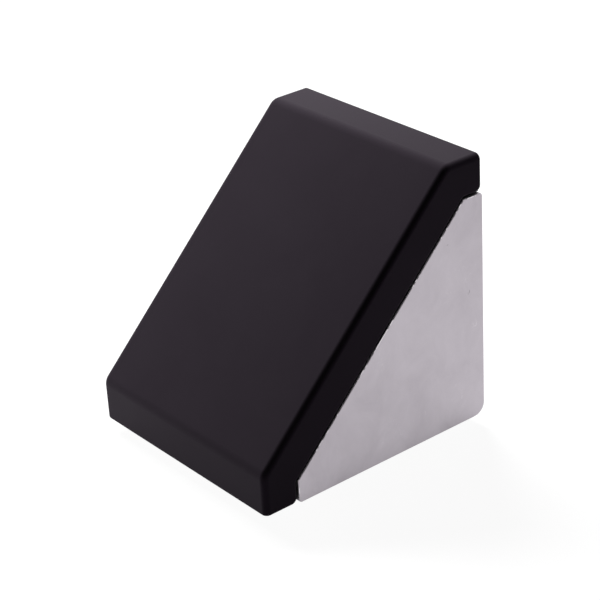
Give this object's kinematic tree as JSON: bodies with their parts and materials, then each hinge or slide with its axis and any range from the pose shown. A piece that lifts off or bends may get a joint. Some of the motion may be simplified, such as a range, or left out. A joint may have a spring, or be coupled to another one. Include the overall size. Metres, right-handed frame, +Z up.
{
  "type": "t slot corner bracket",
  "caption": "Right-angle die-cast gusset bracket for slotted aluminium profile, with slotted screw holes, locating lugs and a clip-on moulded cover over its slope.",
  "frame": {"origin": "the heel: where the two mounting planes meet, halfway across the width", "axes": "+X across the width; -Y out along the base leg, whose mounting face looks down; +Z up along the back leg, whose mounting face looks along +Y"},
  "size_m": [0.035, 0.0395, 0.0395],
  "materials": {
    "die_cast_aluminium": "blasted die casting, matt silver grey",
    "black_polyamide": "fine-textured moulded black plastic"
  },
  "bodies": {
    "root": {"bracket_body": "die_cast_aluminium", "cover_cap": "black_polyamide"}
  },
  "joints": []
}
